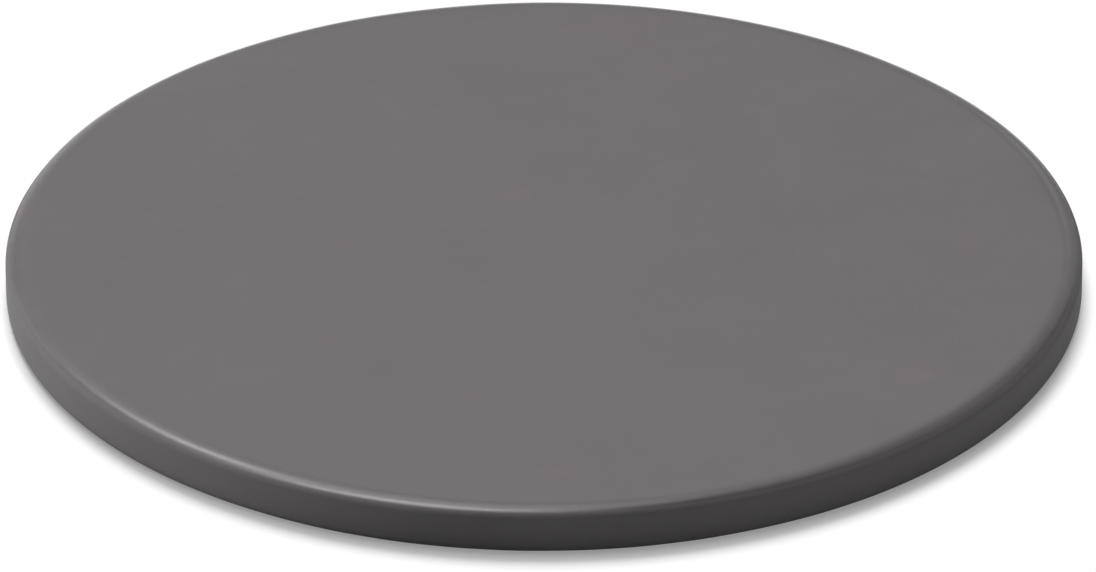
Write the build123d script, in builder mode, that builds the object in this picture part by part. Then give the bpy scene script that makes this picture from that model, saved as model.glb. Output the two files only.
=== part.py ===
# A round glazed pizza stone: a pressed and fired ceramic disc under a fused coat of dark glaze.
#
# The disc lies flat on its bare underside. The glaze covers the baking face and the whole rim,
# rolls round the lower edge and ends there in a rounded bead, just clear of the surface that the
# stone stands on. A glaze melts when it is fired, so a stone that stood on its glaze would stick
# to the shelf of the kiln.
#
# Frame: +Z up, the origin at the centre of the underside, sizes in millimetres.

from build123d import *
from math import asin, degrees
import os

# The whole stone, measured over the glaze
stone_diameter = 365.0
stone_thickness = 16.0
baking_edge_radius = 5.0

# The glaze, and how far its lowest point stays above the surface that the stone stands on
glaze_thickness = 0.5
bead_clearance = 0.3

# The lower edge of the ceramic, under the glaze
base_edge_radius = 3.0

# The ceramic ends where the glaze begins, so the two share these sizes
stone_radius = stone_diameter / 2
body_radius = stone_radius - glaze_thickness
body_thickness = stone_thickness - glaze_thickness
body_edge_radius = baking_edge_radius - glaze_thickness
bead_radius = glaze_thickness / 2

# How far round the lower edge the glaze rolls before its bead, which keeps that clearance
bead_drop = base_edge_radius - bead_radius - bead_clearance
roll_under_angle = degrees(asin(bead_drop / (base_edge_radius + bead_radius)))

# The ceramic disc, with a soft edge round the baking face and another round the underside
with BuildPart() as ceramic_body:
    with BuildSketch():
        Circle(body_radius)
    extrude(amount=body_thickness)
    fillet(ceramic_body.edges().group_by(Axis.Z)[-1], radius=body_edge_radius)
    fillet(ceramic_body.edges().group_by(Axis.Z)[0], radius=base_edge_radius)
ceramic_body.part.label = "ceramic_body"

# The glaze: half of its section, drawn out over the ceramic and back along it, then turned
with BuildPart() as glaze_coat:
    with BuildSketch(Plane.XZ):
        with BuildLine():
            # The skin that shows, from the middle of the baking face to the bead
            skin_face = Line((0, stone_thickness), (stone_radius - baking_edge_radius, stone_thickness))
            skin_edge = JernArc(skin_face @ 1, skin_face % 1, baking_edge_radius, -90)
            skin_wall = Line(skin_edge @ 1, (stone_radius, base_edge_radius))
            skin_roll_radius = base_edge_radius + glaze_thickness
            skin_roll = JernArc(skin_wall @ 1, skin_wall % 1, skin_roll_radius, -roll_under_angle)
            bead = JernArc(skin_roll @ 1, skin_roll % 1, bead_radius, -180)
            # The side that is fused to the ceramic, from the bead back to the middle
            fused_roll = JernArc(bead @ 1, bead % 1, base_edge_radius, roll_under_angle)
            fused_wall = Line(fused_roll @ 1, (body_radius, body_thickness - body_edge_radius))
            fused_edge = JernArc(fused_wall @ 1, fused_wall % 1, body_edge_radius, 90)
            fused_face = Line(fused_edge @ 1, (0, body_thickness))
            Line(fused_face @ 1, skin_face @ 0)
        make_face()
    revolve(axis=Axis.Z)
glaze_coat.part.label = "glaze_coat"

os.makedirs("parts", exist_ok=True)
export_step(ceramic_body.part, "parts/ceramic_body.step")
export_step(glaze_coat.part, "parts/glaze_coat.step")
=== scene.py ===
# %% [markdown]
# # A glazed pizza stone
#
# The object is one round slab of fired ceramic that stores the heat of an oven. A dark grey satin
# glaze covers its baking face and its rim, rolls round the lower edge and ends there in a bead.
# The underside stays bare, because a glazed face would melt onto the shelf of the kiln.
#
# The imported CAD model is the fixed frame, in metres, with +Z up and the stone lying on the floor
# at zero. It is loaded first, and the size of its box is kept, because nothing that is made here
# may grow out of it.

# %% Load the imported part
import math

import bpy
import numpy as np
from mathutils import Matrix, Vector


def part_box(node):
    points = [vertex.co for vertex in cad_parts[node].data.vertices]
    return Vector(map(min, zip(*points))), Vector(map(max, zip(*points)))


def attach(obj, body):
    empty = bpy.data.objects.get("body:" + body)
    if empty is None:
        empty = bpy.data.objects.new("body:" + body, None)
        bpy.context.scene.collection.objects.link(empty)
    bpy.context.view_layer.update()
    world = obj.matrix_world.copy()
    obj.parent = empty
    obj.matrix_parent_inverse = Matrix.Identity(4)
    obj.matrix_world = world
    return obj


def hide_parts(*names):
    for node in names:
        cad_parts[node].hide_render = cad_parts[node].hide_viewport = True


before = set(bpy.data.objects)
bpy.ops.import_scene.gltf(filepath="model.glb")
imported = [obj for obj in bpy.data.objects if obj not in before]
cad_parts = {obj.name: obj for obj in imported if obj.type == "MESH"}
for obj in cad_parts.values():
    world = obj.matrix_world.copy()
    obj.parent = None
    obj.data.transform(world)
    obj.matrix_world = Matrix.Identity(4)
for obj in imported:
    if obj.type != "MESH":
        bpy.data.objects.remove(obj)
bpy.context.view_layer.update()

print("pieces of the frame:", sorted(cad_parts))

# %% [markdown]
# ## The sizes
#
# Both pieces are round, so a section through the stone says almost everything: how far out the
# rim stands, how thick the slab is, and how its edges are rounded. The outer sizes can be read
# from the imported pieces, so they can't drift away from the CAD. Only the roundings of the two edges
# aren't in a box, and they are written here. The CAD rounds the upper edge by 5 mm. The photograph
# says a little more: its bright line lies well in from the rim and then falls off at once, which
# is what an edge does that is twice as wide as it is tall.

# %% Sizes of the section, in metres
mm = 0.001
glaze_low, glaze_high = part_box("glaze_coat")
clay_low, clay_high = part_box("ceramic_body")
rim_radius = glaze_high.x
stone_top = glaze_high.z
clay_radius = clay_high.x
clay_top = clay_high.z
edge_width = 7.0 * mm
edge_drop = 3.3 * mm
foot_edge = 3.0 * mm
glaze_depth = rim_radius - clay_radius
bead_radius = glaze_depth / 2
roll_angle = math.asin((foot_edge - bead_radius - glaze_low.z) / (foot_edge + bead_radius))
print(f"stone {2 * rim_radius / mm:.1f} mm across and {stone_top / mm:.1f} mm thick")
print(f"glaze {glaze_depth / mm:.2f} mm deep, rolled under by {math.degrees(roll_angle):.1f} degrees")

# %% [markdown]
# ## What a turned section leaves out
#
# A slab that is pressed, fired and dipped by hand is never quite true. Its rim is a few tenths of
# a millimetre out of round, its upper edge is a little fuller in some places than in others, and
# the line where the glaze ends wanders. One stretch of the upper edge, at the front left, is softer
# than the rest: there the bright line is widest. The eye reads all this in the reflections long
# before it could be measured. It could be left to a Displace modifier, but then the edges would
# move with the faces. Here slow waves change the numbers of the section itself, angle by angle,
# and a shallow swell moves the baking face, so each part of the skin keeps its own kind of error.

# %% Slow waves round the rim
def waves(angle, orders, seed):
    """Uneven waves round the disc, from -1 to 1, that close on themselves."""
    rng = np.random.default_rng(seed)
    weights = rng.uniform(0.5, 1.0, len(orders))
    phases = rng.uniform(0, 2 * np.pi, len(orders))
    total = sum(w * np.sin(n * angle + p) for n, w, p in zip(orders, weights, phases))
    return total / weights.sum()


def swell(x, y, lengths, seed):
    """A shallow uneven swell over a face, from 0 to 1, made of waves that cross at all angles."""
    rng = np.random.default_rng(seed)
    total = 0 * x
    for length in lengths:
        heading, phase = rng.uniform(0, 2 * np.pi, 2)
        along = x * math.cos(heading) + y * math.sin(heading)
        total = total + length * np.sin(2 * np.pi * along / length + phase)
    return 0.5 + 0.5 * total / sum(lengths)


face_waves = [length * mm for length in (95, 78, 66, 57, 49, 42, 36, 31, 27, 23, 19, 16, 13)]
around = np.linspace(0, 2 * np.pi, 9)[:-1]
print("waves at eight angles:", np.round(waves(around, (2, 3, 5, 9), seed=11), 2))

# %% The section of the glaze at each angle
face_dip = 0.05 * mm
rim_dip = 0.12 * mm
edge_change = 0.08
soft_middle = math.radians(230)
soft_reach = math.radians(15)
soft_gain = 0.15
line_change = math.radians(5.0)
line_bias = 0.6
rim_seed, edge_seed, line_seed, face_seed, foot_seed = 11, 12, 13, 14, 15


def rim_at(angle):
    """How far out the glazed rim stands. It never passes the frame."""
    return rim_radius - rim_dip * (0.5 + 0.5 * waves(angle, (2, 3, 5, 8, 13), rim_seed))


def edge_at(angle):
    """How full the upper edge is, near 1."""
    return 1 + edge_change * waves(angle, (2, 5, 7, 12, 19), edge_seed)


def edge_width_at(angle):
    """How wide the upper edge is. One stretch of it is softer than the rest."""
    off = (angle - soft_middle + np.pi) % (2 * np.pi) - np.pi
    return edge_width * (edge_at(angle) + soft_gain * np.exp(-0.5 * (off / soft_reach) ** 2))


def line_at(angle):
    """How far round the lower edge the glaze runs before its bead."""
    wander = waves(angle, (3, 5, 8, 13, 21, 34, 55), line_seed)
    return roll_angle - line_change * (line_bias - wander)


def dip_at(radius, angle):
    """How far the baking face lies below its highest level."""
    return face_dip * swell(radius * np.cos(angle), radius * np.sin(angle), face_waves, face_seed)


def face_ring(radius):
    """A ring on the baking face."""
    return lambda angle: (radius + 0 * angle, stone_top - dip_at(radius, angle))


def edge_ring(turn):
    """A ring on the upper edge, from the face at 0 to the wall at a quarter turn."""
    def ring(angle):
        radius = rim_at(angle) - edge_width_at(angle) * (1 - math.sin(turn))
        drop = edge_drop * edge_at(angle)
        dip = dip_at(radius, angle) * math.cos(turn)
        return radius, stone_top - drop * (1 - math.cos(turn)) - dip
    return ring


def wall_ring(share):
    """A ring on the upright rim, from its top at 0 to its foot at 1."""
    def ring(angle):
        high = stone_top - edge_drop * edge_at(angle)
        return rim_at(angle), high + share * (foot_edge - high)
    return ring


def roll_ring(share):
    """A ring on the lower edge, from its start at 0 to the bead at 1."""
    def ring(angle):
        turn = share * line_at(angle)
        full = foot_edge + rim_at(angle) - clay_radius
        return clay_radius - foot_edge + full * np.cos(turn), foot_edge - full * np.sin(turn)
    return ring


def bead_ring(share):
    """A ring on the bead, from the outer skin at 0 round to the ceramic at 1."""
    def ring(angle):
        turn = line_at(angle)
        depth = rim_at(angle) - clay_radius
        middle = foot_edge + depth / 2
        out = depth / 2 * math.cos(math.pi * share)
        past = depth / 2 * math.sin(math.pi * share)
        radius = clay_radius - foot_edge + (middle + out) * np.cos(turn) - past * np.sin(turn)
        return radius, foot_edge - (middle + out) * np.sin(turn) - past * np.cos(turn)
    return ring


every_half_degree = np.linspace(0, 2 * np.pi, 720)
for name, sizes in (("rim", rim_at(every_half_degree)),
                    ("upper edge", edge_drop * edge_at(every_half_degree))):
    print(f"{name}: {sizes.min() / mm:.2f} to {sizes.max() / mm:.2f} mm")

# %% [markdown]
# ## Joining rings into a skin
#
# A lathe modifier would give every ring the same number of sides. Then the middle of the disc is
# crowded with slivers, or the rim is too coarse for a clean outline. Here each ring says how many
# sides it has, and a ring may have twice or half as many as the one before it, so the faces stay
# near the same size from the rim to the middle. The rings run from the middle of one side over
# the rim to the middle of the other, so the skin closes on itself and has an inside.
#
# The same function lays out a texture map to bake into. The side that shows is spread as a disc
# over nearly the whole map, with its radius measured along the skin, so that the rim gets as much
# of it as the face does. The hidden side is a small disc in a corner.

# %% Rings to mesh
full_sides = 768
fewest_sides = 24
shown_middle, shown_reach = 0.5, 0.49
hidden_middle, hidden_reach = 0.06, 0.05


def sides_at(radius):
    """How many sides a ring has, so that its faces stay near the size of those at the rim."""
    count = full_sides
    while count > fewest_sides and radius < 0.5 * rim_radius * count / full_sides:
        count //= 2
    return count


def band_faces(start, sides, next_start, next_sides):
    """The faces between two rings that follow each other, wound so that they face outwards."""
    faces = []
    if sides == 1:
        for k in range(next_sides):
            faces.append((start, next_start + k, next_start + (k + 1) % next_sides))
    elif next_sides == 1:
        for k in range(sides):
            faces.append((start + k, next_start, start + (k + 1) % sides))
    elif sides == next_sides:
        for k in range(sides):
            n = (k + 1) % sides
            faces.append((start + k, next_start + k, next_start + n, start + n))
    elif next_sides == 2 * sides:
        for k in range(sides):
            n = (k + 1) % sides
            one, two, three = next_start + 2 * k, next_start + 2 * k + 1, next_start + 2 * n
            faces += [(start + k, one, two), (start + k, two, start + n), (start + n, two, three)]
    else:
        for k in range(next_sides):
            n = (k + 1) % next_sides
            one, two, three = start + 2 * k, start + 2 * k + 1, start + 2 * n
            faces += [(one, next_start + k, two), (two, next_start + k, next_start + n)]
            faces.append((two, next_start + n, three))
    return faces


def skin(name, rings, turn_ring, shown_first):
    """A closed mesh from rings of (sides, section), with its texture map.

    The skin turns from its upper side to its lower side at turn_ring. The upper side is the one
    that shows if shown_first is true, and otherwise the lower one."""
    places, starts, lengths, angles, faces, bands = [], [], [0.0], [], [], []
    last_mean = None
    for sides, section in rings:
        angle = 2 * np.pi * np.arange(sides) / sides
        radius, height = section(angle)
        starts.append(sum(len(p) for p in places))
        places.append(np.stack([radius * np.cos(angle), radius * np.sin(angle), height], 1))
        mean = np.array([radius.mean(), height.mean()])
        if last_mean is not None:
            lengths.append(lengths[-1] + float(np.linalg.norm(mean - last_mean)))
        last_mean = mean
        angles.append(angle)
    for i in range(len(rings) - 1):
        made = band_faces(starts[i], rings[i][0], starts[i + 1], rings[i + 1][0])
        faces += made
        bands += [i] * len(made)

    mesh = bpy.data.meshes.new(name)
    mesh.from_pydata(np.concatenate(places).tolist(), [], faces)
    mesh.polygons.foreach_set("use_smooth", [True] * len(faces))

    along = np.concatenate([np.full(rings[i][0], lengths[i]) for i in range(len(rings))])
    angle = np.concatenate(angles)
    corner = np.zeros(len(mesh.loops), int)
    mesh.loops.foreach_get("vertex_index", corner)
    sizes = np.array([len(face) for face in faces])
    upper = np.repeat(np.array(bands) < turn_ring, sizes)
    shown = upper == shown_first
    upper_share = along[corner] / lengths[turn_ring]
    lower_share = (lengths[-1] - along[corner]) / (lengths[-1] - lengths[turn_ring])
    share = np.where(upper, upper_share, lower_share)
    reach = np.where(shown, shown_reach, hidden_reach) * share
    middle = np.where(shown, shown_middle, hidden_middle)
    across = middle + reach * np.cos(angle[corner])
    flip = np.where(upper, 1.0, -1.0)
    up = middle + reach * np.sin(angle[corner]) * flip
    layer = mesh.uv_layers.new(name="OFBake")
    layer.data.foreach_set("uv", np.stack([across, up], 1).ravel())

    piece = bpy.data.objects.new(name, mesh)
    bpy.context.scene.collection.objects.link(piece)
    print(f"{name}: {len(rings)} rings, {len(mesh.vertices)} points, {len(faces)} faces")
    return piece


print("sides of a ring near the rim and near the middle:", sides_at(0.18), sides_at(0.004))

# %% [markdown]
# ## The glaze coat
#
# On the real stone this is one continuous coat of glass. It is flat over the baking face, turns
# over the soft upper edge, drops down the rim, rolls under and stops in a bead, where melted
# glass draws back from bare clay. A photograph of a shiny edge is mostly a photograph of how the
# edge is rounded, so the rounding has many rings and the flat wall has few. Its inner side lies
# against the ceramic, a hair inside it, so that the bead meets the clay with no gap.

# %% Build the glaze coat
face_step = 2.5 * mm
edge_steps = 16
wall_steps = 7
roll_steps = 8
bead_steps = 8
hidden_steps = 5
bite = 0.03 * mm


def plain_ring(radius, height):
    """A true circle, for the sides that nobody sees."""
    return lambda angle: (radius + 0 * angle, height + 0 * angle)


def inner_section(bite):
    """Rings under the glaze, from the glaze line up the ceramic's rim and in over its top."""
    centre = clay_radius - foot_edge
    reach = foot_edge - bite
    rings = []
    for share in np.linspace(1, 0, hidden_steps + 1):
        def under(angle, share=share):
            turn = share * line_at(angle)
            return centre + reach * np.cos(turn), foot_edge - reach * np.sin(turn)
        rings.append((full_sides, under))
    for tilt in np.linspace(math.pi / 2, 0, hidden_steps + 1):
        def shoulder(angle, tilt=tilt):
            wide = edge_width_at(angle) - glaze_depth - bite
            tall = edge_drop * edge_at(angle) - glaze_depth - bite
            radius = clay_radius - bite - wide * (1 - math.sin(tilt))
            return radius, clay_top - bite - tall * (1 - math.cos(tilt))
        rings.append((full_sides, shoulder))
    for sides in (384, 192, 96, 48, 24):
        rings.append((sides, plain_ring(rim_radius * sides / full_sides, clay_top - bite)))
    rings.append((1, plain_ring(0, clay_top - bite)))
    return rings


widest_edge = edge_width * (1 + edge_change + soft_gain)
last_face = int((rim_radius - widest_edge) / face_step)
glaze_rings = [(1, face_ring(0))]
glaze_rings += [(sides_at(r), face_ring(r)) for r in face_step * np.arange(1, last_face + 1)]
glaze_rings += [(full_sides, edge_ring(t)) for t in np.linspace(0, math.pi / 2, edge_steps + 1)]
glaze_rings += [(full_sides, wall_ring(s)) for s in np.linspace(0, 1, wall_steps + 1)[1:]]
glaze_rings += [(full_sides, roll_ring(s)) for s in np.linspace(0, 1, roll_steps + 1)[1:]]
glaze_rings += [(full_sides, bead_ring(s)) for s in np.linspace(0, 1, bead_steps + 1)[1:-1]]
bead_end = len(glaze_rings)
glaze_rings += inner_section(bite)
glaze = skin("glaze_coat_fine", glaze_rings, bead_end, shown_first=True)

# %% [markdown]
# ## The ceramic body
#
# Turned over, the real stone shows its clay: buff, dry and slightly uneven, flat where it stood on
# the kiln shelf, with a small rounding that runs up under the glaze. A plain cylinder would hide
# well enough under the glaze, but the underside and that rounding are seen whenever the stone is
# lifted. So the side that shows has fine rings, and the part under the glaze has few.

# %% Build the ceramic body
foot_dip = 0.04 * mm
foot_steps = 10


def rise_at(radius, angle):
    """How far the underside lies above the floor. It is never below it."""
    return foot_dip * swell(radius * np.cos(angle), radius * np.sin(angle), face_waves, foot_seed)


def foot_ring(radius):
    """A ring on the flat underside."""
    return lambda angle: (radius + 0 * angle, rise_at(radius, angle))


def foot_edge_ring(share):
    """A ring on the lower edge of the clay, from the glaze line at 0 to the flat at 1."""
    def ring(angle):
        turn = line_at(angle) + share * (math.pi / 2 - line_at(angle))
        radius = clay_radius - foot_edge + foot_edge * np.cos(turn)
        rise = rise_at(radius, angle) * share
        return radius, foot_edge * (1 - np.sin(turn)) + rise
    return ring


clay_rings = inner_section(0)[::-1]
glaze_line = len(clay_rings) - 1
clay_rings += [(full_sides, foot_edge_ring(s)) for s in np.linspace(0, 1, foot_steps + 1)[1:]]
last_foot = int((clay_radius - foot_edge) / face_step)
foot_radii = face_step * np.arange(last_foot, 0, -1)
clay_rings += [(sides_at(r), foot_ring(r)) for r in foot_radii]
clay_rings.append((1, foot_ring(0)))
clay = skin("ceramic_body_fine", clay_rings, glaze_line, shown_first=False)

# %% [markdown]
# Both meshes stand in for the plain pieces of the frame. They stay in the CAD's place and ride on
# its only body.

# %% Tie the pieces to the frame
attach(glaze, "root")
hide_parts("glaze_coat")
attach(clay, "root")
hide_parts("ceramic_body")
print("glaze and clay ride on the frame")

# %% [markdown]
# ## Effects that both finishes share
#
# Glaze and clay vary in the same ways: slow clouds of tone, fine grain, scattered specks, and a
# band of another colour along an edge. Each of these is a node group with its own inputs, built
# once and placed in both materials with different numbers. All of them read the position on the
# object in millimetres, so a size that is typed in is a real size on the stone.

# %% Small helpers for nodes
def put(tree, kind, feeds=None, **settings):
    """Adds a node. feeds gives its inputs a plain value or another node's output."""
    made = tree.nodes.new(kind)
    for name, value in settings.items():
        setattr(made, name, value)
    for name, value in (feeds or {}).items():
        if isinstance(value, bpy.types.NodeSocket):
            tree.links.new(value, made.inputs[name])
        else:
            made.inputs[name].default_value = value
    return made


def calc(tree, operation, *values, clamp=False):
    """The output of a Math node."""
    made = put(tree, "ShaderNodeMath", dict(enumerate(values)), operation=operation)
    made.use_clamp = clamp
    return made.outputs[0]


def remap(tree, value, low, high, to_low=0.0, to_high=1.0):
    """Stretches low to high over another range, with soft ends."""
    feeds = {"Value": value, "From Min": low, "From Max": high, "To Min": to_low, "To Max": to_high}
    return put(tree, "ShaderNodeMapRange", feeds, interpolation_type="SMOOTHSTEP").outputs[0]


def mix_colour(tree, share, first, second, blend="MIX"):
    """The output of a Mix node for colours, with first and second as its A and B."""
    made = put(tree, "ShaderNodeMix", {0: share, 6: first, 7: second}, data_type="RGBA",
               blend_type=blend)
    return made.outputs[2]


def new_group(name, inputs, outputs):
    """An empty node group with float inputs and their values, and its two end nodes."""
    group = bpy.data.node_groups.new(name, "ShaderNodeTree")
    group.interface.new_socket("Position", in_out="INPUT", socket_type="NodeSocketVector")
    for label, value in inputs.items():
        socket = group.interface.new_socket(label, in_out="INPUT", socket_type="NodeSocketFloat")
        socket.default_value = value
    for label in outputs:
        group.interface.new_socket(label, in_out="OUTPUT", socket_type="NodeSocketFloat")
    ends = group.nodes.new("NodeGroupInput"), group.nodes.new("NodeGroupOutput")
    return group, *ends


def place(tree, group, position, **values):
    """Places a group in a material. Underscores in a value's name stand for spaces."""
    made = put(tree, "ShaderNodeGroup", {}, node_tree=group)
    tree.links.new(position, made.inputs["Position"])
    for name, value in values.items():
        made.inputs[name.replace("_", " ")].default_value = value
    return made.outputs


print("helpers ready")

# %% [markdown]
# Clouds of tone are what a thick dipped glaze or a dry-pressed clay shows first: areas a few
# centimetres wide, a shade lighter or darker. One soft noise is enough, with a second output that
# gives the bare pattern, for masks.

# %% Group: cloudy tone
cloudy_tone, start, end = new_group(
    "cloudy_tone", {"Cloud Size": 40.0, "Strength": 0.05, "Seed": 0.0}, ("Tone", "Cloud")
)
scale = calc(cloudy_tone, "DIVIDE", 1.0, start.outputs["Cloud Size"])
noise = put(cloudy_tone, "ShaderNodeTexNoise",
            {"Vector": start.outputs["Position"], "W": start.outputs["Seed"], "Scale": scale,
             "Detail": 2.0, "Roughness": 0.5}, noise_dimensions="4D")
lean = calc(cloudy_tone, "MULTIPLY_ADD", noise.outputs[0], 2.0, -1.0)
tone = calc(cloudy_tone, "MULTIPLY_ADD", lean, start.outputs["Strength"], 1.0)
cloudy_tone.links.new(tone, end.inputs["Tone"])
cloudy_tone.links.new(noise.outputs[0], end.inputs["Cloud"])
print("group:", cloudy_tone.name)

# %% [markdown]
# Grain is the finest thing that the photograph still shows: a stipple under a millimetre wide. It
# is a noise with several octaves, used for colour and for the height of the bump alike, so that
# the two agree.

# %% Group: fine grain
fine_grain, start, end = new_group(
    "fine_grain", {"Grain Size": 1.0, "Strength": 0.05}, ("Tone", "Height")
)
scale = calc(fine_grain, "DIVIDE", 1.0, start.outputs["Grain Size"])
noise = put(fine_grain, "ShaderNodeTexNoise",
            {"Vector": start.outputs["Position"], "Scale": scale, "Detail": 3.0,
             "Roughness": 0.6})
lean = calc(fine_grain, "MULTIPLY_ADD", noise.outputs[0], 2.0, -1.0)
tone = calc(fine_grain, "MULTIPLY_ADD", lean, start.outputs["Strength"], 1.0)
fine_grain.links.new(tone, end.inputs["Tone"])
fine_grain.links.new(noise.outputs[0], end.inputs["Height"])
print("group:", fine_grain.name)

# %% [markdown]
# Specks are iron in the clay, which burns dark in the kiln and shows through the glaze too. Cells
# of a Voronoi texture give each speck a place. Two of a cell's random numbers then decide whether
# it has a speck at all and how large it is, so that they don't look printed.

# %% Group: scattered specks
scattered_specks, start, end = new_group(
    "scattered_specks", {"Spacing": 4.0, "Size": 0.8, "Share": 0.4}, ("Mask",)
)
scale = calc(scattered_specks, "DIVIDE", 1.0, start.outputs["Spacing"])
cells = put(scattered_specks, "ShaderNodeTexVoronoi",
            {"Vector": start.outputs["Position"], "Scale": scale})
chance = put(scattered_specks, "ShaderNodeSeparateColor", {"Color": cells.outputs["Color"]})
there = calc(scattered_specks, "LESS_THAN", chance.outputs[0], start.outputs["Share"])
away = calc(scattered_specks, "MULTIPLY", cells.outputs["Distance"], start.outputs["Spacing"])
own_size = calc(scattered_specks, "MULTIPLY", start.outputs["Size"],
                calc(scattered_specks, "MULTIPLY_ADD", chance.outputs[1], 0.4, 0.1))
spot = remap(scattered_specks, away, own_size, calc(scattered_specks, "MULTIPLY", own_size, 0.4))
scattered_specks.links.new(calc(scattered_specks, "MULTIPLY", spot, there), end.inputs["Mask"])
print("group:", scattered_specks.name)

# %% [markdown]
# Both finishes change along an edge. Glaze runs thin over the upper edge and lets a little of the
# warm clay through, and bare clay is flashed darker where it meets the glaze. The mask is the
# distance to a circle round the stone's axis, at a given radius and height.

# %% Group: band along an edge
edge_band, start, end = new_group(
    "edge_band", {"Radius": 180.0, "Height": 14.0, "Reach": 3.0}, ("Mask",)
)
parts = put(edge_band, "ShaderNodeSeparateXYZ", {"Vector": start.outputs["Position"]})
flat = calc(edge_band, "SQRT", calc(edge_band, "ADD",
                                    calc(edge_band, "POWER", parts.outputs[0], 2.0),
                                    calc(edge_band, "POWER", parts.outputs[1], 2.0)))
out = calc(edge_band, "SUBTRACT", flat, start.outputs["Radius"])
up = calc(edge_band, "SUBTRACT", parts.outputs[2], start.outputs["Height"])
away = calc(edge_band, "SQRT", calc(edge_band, "ADD", calc(edge_band, "POWER", out, 2.0),
                                    calc(edge_band, "POWER", up, 2.0)))
edge_band.links.new(remap(edge_band, away, start.outputs["Reach"], 0.0), end.inputs["Mask"])
print("group:", edge_band.name)

# %% [markdown]
# ## The dark glaze
#
# The real finish is a satin glaze: dark grey, even, with a soft shine that shows as one bright
# line along the front edge. A mirror coat over a matt base would give two highlights, so one
# satin Principled shader is enough. Its colour is a grey that leans a trace to red, with faint
# clouds, a stipple that only shows close up, a few brownish patches and a hint of an edge where
# the glaze is thin, and small dark specks.
#
# The rim is duller than the face. In the photograph it shows nothing of the white ground that it
# stands on, and glaze on an upright side does come out drier, because it runs before it melts
# smooth. So the roughness grows with the depth below the face, from satin to nearly matt. The
# colour is painted a little paler with it: painted light that brightens the rim, not a paler glaze.

# %% Material: dark glaze
def new_material(name):
    """A material with one Principled shader, and the position on the object in millimetres."""
    made = bpy.data.materials.new(name)
    made.use_nodes = True
    tree = made.node_tree
    tree.nodes.clear()
    shader = put(tree, "ShaderNodeBsdfPrincipled")
    put(tree, "ShaderNodeOutputMaterial", {"Surface": shader.outputs[0]})
    where = put(tree, "ShaderNodeTexCoord").outputs["Object"]
    scaled = put(tree, "ShaderNodeVectorMath", {0: where, "Scale": 1 / mm}, operation="SCALE")
    return made, tree, shader, scaled.outputs[0]


def grey(tree, tone):
    """A tone as a colour, to multiply with."""
    return put(tree, "ShaderNodeCombineColor", {0: tone, 1: tone, 2: tone}).outputs[0]


glaze_colour = (0.1150, 0.1055, 0.1100, 1)
# Painted light: the rim's colour is paler than the face's, to brighten the rim.
painted_light_rim_colour = (0.1360, 0.1285, 0.1320, 1)
thin_glaze_colour = (0.148, 0.104, 0.105, 1)
glaze_speck_colour = (0.05, 0.046, 0.045, 1)
glaze_speck_strength = 0.20
patch_starts, patch_full, patch_strength = 0.56, 0.74, 0.30
edge_warmth = 0.02
satin_low, satin_high = 0.22, 0.26
cloud_low, cloud_high = 0.2, 0.8
dull_and_paint_starts = stone_top - 1.05 * mm
dull_and_paint_ends = stone_top - 2.1 * mm
dull_gain = 0.60
glaze_relief = 0.010 * mm
dark_glaze, tree, shader, position = new_material("dark_glaze")
broad = place(tree, cloudy_tone, position, Cloud_Size=48.0, Strength=0.10, Seed=3.0)
small = place(tree, cloudy_tone, position, Cloud_Size=11.0, Strength=0.07, Seed=8.0)
grain = place(tree, fine_grain, position, Grain_Size=0.8, Strength=0.16)
thin = place(tree, cloudy_tone, position, Cloud_Size=34.0, Strength=0.0, Seed=21.0)
specks = place(tree, scattered_specks, position, Spacing=3.4, Size=0.9, Share=0.35)
upper = place(tree, edge_band, position, Radius=(rim_radius - 0.3 * edge_width) / mm,
              Height=(stone_top - 0.3 * edge_drop) / mm, Reach=3.5)
height = put(tree, "ShaderNodeSeparateXYZ", {"Vector": position}).outputs[2]
# This mask dulls the rim and also brings in the paler rim colour, which is painted light.
dullness_and_painted_light = remap(tree, height, dull_and_paint_starts / mm, dull_and_paint_ends / mm)

tone = calc(tree, "MULTIPLY", calc(tree, "MULTIPLY", broad["Tone"], small["Tone"]), grain["Tone"])
patches = remap(tree, thin["Cloud"], patch_starts, patch_full, 0.0, patch_strength)
warm = calc(tree, "MAXIMUM", patches, calc(tree, "MULTIPLY", upper["Mask"], edge_warmth))
# Painted light: the paler rim colour, mixed in with depth below the face.
colour = mix_colour(tree, dullness_and_painted_light, glaze_colour, painted_light_rim_colour)
colour = mix_colour(tree, warm, colour, thin_glaze_colour)
colour = mix_colour(tree, 1.0, colour, grey(tree, tone), blend="MULTIPLY")
specked = calc(tree, "MULTIPLY", specks["Mask"], glaze_speck_strength)
colour = mix_colour(tree, specked, colour, glaze_speck_colour)
tree.links.new(colour, shader.inputs["Base Color"])
satin = remap(tree, small["Cloud"], cloud_low, cloud_high, satin_low, satin_high)
tree.links.new(calc(tree, "MULTIPLY_ADD", dullness_and_painted_light, dull_gain, satin), shader.inputs["Roughness"])
bump = put(tree, "ShaderNodeBump", {"Height": grain["Height"], "Strength": 1.0,
                                    "Distance": glaze_relief})
tree.links.new(bump.outputs[0], shader.inputs["Normal"])
glaze.data.materials.append(dark_glaze)
print("material:", dark_glaze.name)
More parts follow.
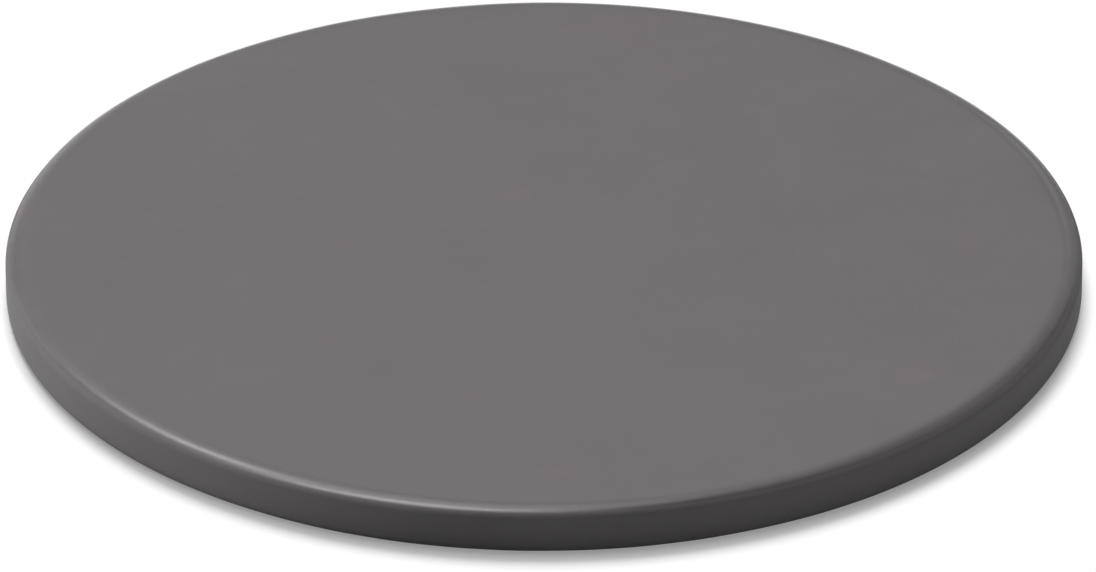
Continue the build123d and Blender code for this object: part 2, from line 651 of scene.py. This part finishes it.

# %% [markdown]
# ## The bare ceramic
#
# The photograph doesn't show the underside, so its finish is that of any bare stone of this kind:
# buff clay with visible grain, dark iron specks and small pits. It is rougher and much more uneven
# than the glaze, so the same groups are placed with larger numbers. The pits are sunk by the bump
# and also painted darker, which is painted shade in their hollows.

# %% Material: bare ceramic
clay_colour = (0.60, 0.48, 0.33, 1)
flashed_colour = (0.40, 0.25, 0.14, 1)
# Painted shade: the colour that darkens the pits.
painted_pit_shade_colour = (0.22, 0.15, 0.09, 1)
iron_colour = (0.06, 0.035, 0.02, 1)
flash_strength, painted_pit_shade_strength, iron_strength = 0.7, 0.35, 0.8
clay_smooth, clay_rough = 0.80, 0.92
pit_depth = 1.5
clay_relief = 0.08 * mm
bare_ceramic, tree, shader, position = new_material("bare_ceramic")
broad = place(tree, cloudy_tone, position, Cloud_Size=60.0, Strength=0.16, Seed=5.0)
small = place(tree, cloudy_tone, position, Cloud_Size=9.0, Strength=0.12, Seed=6.0)
grain = place(tree, fine_grain, position, Grain_Size=0.9, Strength=0.30)
iron = place(tree, scattered_specks, position, Spacing=5.0, Size=1.6, Share=0.45)
pits = place(tree, scattered_specks, position, Spacing=2.6, Size=1.1, Share=0.30)
flash = place(tree, edge_band, position, Radius=(clay_radius - 1.2 * mm) / mm, Height=0.8,
              Reach=7.0)

tone = calc(tree, "MULTIPLY", calc(tree, "MULTIPLY", broad["Tone"], small["Tone"]), grain["Tone"])
flashed = calc(tree, "MULTIPLY", flash["Mask"], flash_strength)
colour = mix_colour(tree, flashed, clay_colour, flashed_colour)
colour = mix_colour(tree, 1.0, colour, grey(tree, tone), blend="MULTIPLY")
# The pits are painted darker, as painted shade in their hollows; the iron specks are the clay's own
# colour.
for mask, strength, mark in ((pits["Mask"], painted_pit_shade_strength, painted_pit_shade_colour),
                             (iron["Mask"], iron_strength, iron_colour)):
    colour = mix_colour(tree, calc(tree, "MULTIPLY", mask, strength), colour, mark)
tree.links.new(colour, shader.inputs["Base Color"])
roughness = remap(tree, broad["Cloud"], cloud_low, cloud_high, clay_smooth, clay_rough)
tree.links.new(roughness, shader.inputs["Roughness"])
relief = calc(tree, "MULTIPLY_ADD", pits["Mask"], -pit_depth, grain["Height"])
bump = put(tree, "ShaderNodeBump", {"Height": relief, "Strength": 1.0, "Distance": clay_relief})
tree.links.new(bump.outputs[0], shader.inputs["Normal"])
clay.data.materials.append(bare_ceramic)
print("material:", bare_ceramic.name)

# %% [markdown]
# ## The floor
#
# The photograph has a plain white ground with nothing on it but the stone's own soft shadow. A
# white floor could be lit until it is white, but that light would wash out the stone. So the
# floor's colour does it: for the camera and for reflections it is white and glows a little, and
# for all other light it is a mid grey, so that it doesn't fill the dark rim from below.

# %% White floor that keeps the shadow
floor_size = 200.0
floor_glow = 0.28
floor_bounce = 0.52
bpy.ops.mesh.primitive_plane_add(size=floor_size)
floor = bpy.context.object
floor.name = "floor"
white_floor = bpy.data.materials.new("white_floor")
white_floor.use_nodes = True
tree = white_floor.node_tree
tree.nodes.clear()
path = put(tree, "ShaderNodeLightPath").outputs
seen = calc(tree, "ADD", calc(tree, "ADD", path["Is Camera Ray"], path["Is Glossy Ray"]),
            path["Is Transmission Ray"], clamp=True)
white = put(tree, "ShaderNodeBsdfDiffuse", {"Color": (1 - floor_glow,) * 3 + (1,)}).outputs[0]
glow = put(tree, "ShaderNodeEmission", {"Color": (1, 1, 1, 1), "Strength": floor_glow}).outputs[0]
plain = put(tree, "ShaderNodeBsdfDiffuse", {"Color": (floor_bounce,) * 3 + (1,)}).outputs[0]
bright = put(tree, "ShaderNodeAddShader", {0: white, 1: glow}).outputs[0]
both = put(tree, "ShaderNodeMixShader", {0: seen, 1: plain, 2: bright}).outputs[0]
put(tree, "ShaderNodeOutputMaterial", {"Surface": both})
floor.data.materials.append(white_floor)
print("floor:", floor_size, "m across")

# %% [markdown]
# ## The light
#
# The bright line runs along the front left edge and stops short of the middle, the right of the
# rim is dark, and the left end of the rim is as bright as the face. Three large softboxes stand
# high, from the left round to behind, and give over half of the light. Two small ones behind
# draw the bright line. Weak ones along the back and the right, over one wide fill, shade the edge
# from there on, and two low ones, to the left and to the right, light the ends of the rim. Area
# lamps would do, but their light falls off across the floor. A sun lamp with a wide angle is a
# round softbox far away: it is as even, and its disc shows in the glaze in the same way.
#
# The shadow in the photograph is the same to the left and to the right, so the floor has softboxes
# of its own, which stand behind. A studio does this with flags. Here each lamp is linked to the
# pieces that it lights.
#
# Each lamp is given by where it stands, how wide it looks from the stone, in degrees, and its
# share of the light that falls on a level face. At a sum of one, a matt colour renders as it is
# written. The floor's shares add up to one. The stone's add up to a little over 0.8, because its
# shine adds the rest.

# %% Softboxes
stone_boxes = {
    "high_left": {"azimuth": 280, "elevation": 77, "half_angle": 17, "share": 0.137},
    "high_middle": {"azimuth": 312, "elevation": 75, "half_angle": 12, "share": 0.206},
    "high_behind": {"azimuth": 345, "elevation": 66, "half_angle": 14, "share": 0.101},
    "bright_left": {"azimuth": 317, "elevation": 54, "half_angle": 9.2, "share": 0.03},
    "bright_middle": {"azimuth": 333, "elevation": 50, "half_angle": 6, "share": 0.054},
    "right_behind": {"azimuth": 11, "elevation": 58, "half_angle": 12, "share": 0.022},
    "far_right": {"azimuth": 42, "elevation": 47, "half_angle": 12, "share": 0.015},
    "wide_fill": {"azimuth": 325, "elevation": 38.6, "half_angle": 33, "share": 0.062},
    "back_middle": {"azimuth": 335, "elevation": 40, "half_angle": 13, "share": 0.022},
    "back_right": {"azimuth": 0, "elevation": 42, "half_angle": 13, "share": 0.02},
    "back_low": {"azimuth": 0, "elevation": 20, "half_angle": 14, "share": 0.009},
    "back_low_left": {"azimuth": 320, "elevation": 25, "half_angle": 12, "share": 0.012},
    "back_low_right": {"azimuth": 20, "elevation": 20, "half_angle": 12, "share": 0.008},
    "fill_left": {"azimuth": 297, "elevation": 30, "half_angle": 10, "share": 0.009},
    "fill_right": {"azimuth": 19, "elevation": 37, "half_angle": 10, "share": 0.006},
    "horizon": {"azimuth": 343, "elevation": 9, "half_angle": 8, "share": 0.0025},
    "low_left": {"azimuth": 283, "elevation": 9, "half_angle": 8.5, "share": 0.096},
    "low_right": {"azimuth": 98, "elevation": 12, "half_angle": 12, "share": 0.016},
}
floor_boxes = {
    "floor_high": {"azimuth": 338, "elevation": 77.5, "half_angle": 17.0, "share": 0.35},
    "floor_behind": {"azimuth": 354, "elevation": 60.0, "half_angle": 12.5, "share": 0.65},
}


def towards(azimuth, elevation):
    """A direction, with azimuth 0 behind the stone and growing to the right, in degrees."""
    a, e = math.radians(azimuth), math.radians(elevation)
    return Vector((math.cos(e) * math.sin(a), math.cos(e) * math.cos(a), math.sin(e)))


def hang(boxes, pieces, set_name):
    """Hangs a set of softboxes that light these pieces and nothing else."""
    lit = bpy.data.collections.new(set_name)
    for piece in pieces:
        lit.objects.link(piece)
    for name, box in boxes.items():
        data = bpy.data.lights.new(name, "SUN")
        data.angle = math.radians(2 * box["half_angle"])
        data.energy = math.pi * box["share"] / math.sin(math.radians(box["elevation"]))
        lamp = bpy.data.objects.new(name, data)
        lamp.rotation_mode = "QUATERNION"
        lamp.rotation_quaternion = towards(box["azimuth"], box["elevation"]).to_track_quat("Z", "Y")
        lamp.light_linking.receiver_collection = lit
        bpy.context.scene.collection.objects.link(lamp)
        print(f"{name}: energy {data.energy:.2f}")


hang(stone_boxes, [glaze, clay], "lit_by_stone_boxes")
hang(floor_boxes, [floor], "lit_by_floor_boxes")

# %% [markdown]
# The world is the rest of the room: nearly black, with a thin white band at the horizon, where a
# view from low down looks past the end of the floor.

# %% World
band_full, band_ends = 0.04, 0.05
room_glow = 0.01
world = bpy.data.worlds.new("studio")
bpy.context.scene.world = world
world.use_nodes = True
tree = world.node_tree
tree.nodes.clear()
direction = put(tree, "ShaderNodeTexCoord").outputs["Generated"]
parts = put(tree, "ShaderNodeSeparateXYZ", {"Vector": direction})
height = calc(tree, "ABSOLUTE", parts.outputs[2])
band = remap(tree, height, band_ends, band_full)
brightness = calc(tree, "MULTIPLY_ADD", band, 1 - room_glow, room_glow)
background = put(tree, "ShaderNodeBackground", {"Strength": brightness})
background.inputs["Color"].default_value = (1, 1, 1, 1)
put(tree, "ShaderNodeOutputWorld", {"Surface": background.outputs[0]})
print("world: white at the horizon")

# %% [markdown]
# ## The camera
#
# The outline of the disc gives the camera: its two diameters give the height of the view, and the
# way that the near half is larger than the far half gives the distance. The picture is turned by
# a seventh of a degree, as a hand-held product shot is.

# %% Camera at the photograph's angle
camera_height = math.radians(28.65)
camera_distance = 4.413
picture_width = 1096
sensor_width = 36.0
pixels_per_slope = 12999.6
roll = 0.0026
aim_right = 1.344 * mm
aim_up = 0.187 * mm
back = Vector((0, -math.cos(camera_height), math.sin(camera_height)))
up = Vector((0, math.sin(camera_height), math.cos(camera_height)))
right = up.cross(back)
target = right * aim_right + up * aim_up
data = bpy.data.cameras.new("camera")
data.sensor_width = sensor_width
data.lens = pixels_per_slope / picture_width * sensor_width
data.clip_end = 5 * floor_size
camera = bpy.data.objects.new("camera", data)
turn = Matrix((right, up, back)).transposed().to_4x4()
place_at = Matrix.Translation(target + back * camera_distance)
camera.matrix_world = place_at @ turn @ Matrix.Rotation(-roll, 4, "Z")
bpy.context.scene.collection.objects.link(camera)
bpy.context.scene.camera = camera
bpy.context.scene.view_settings.view_transform = "Standard"
print(f"camera: lens {data.lens:.1f} mm at {camera_distance} m")
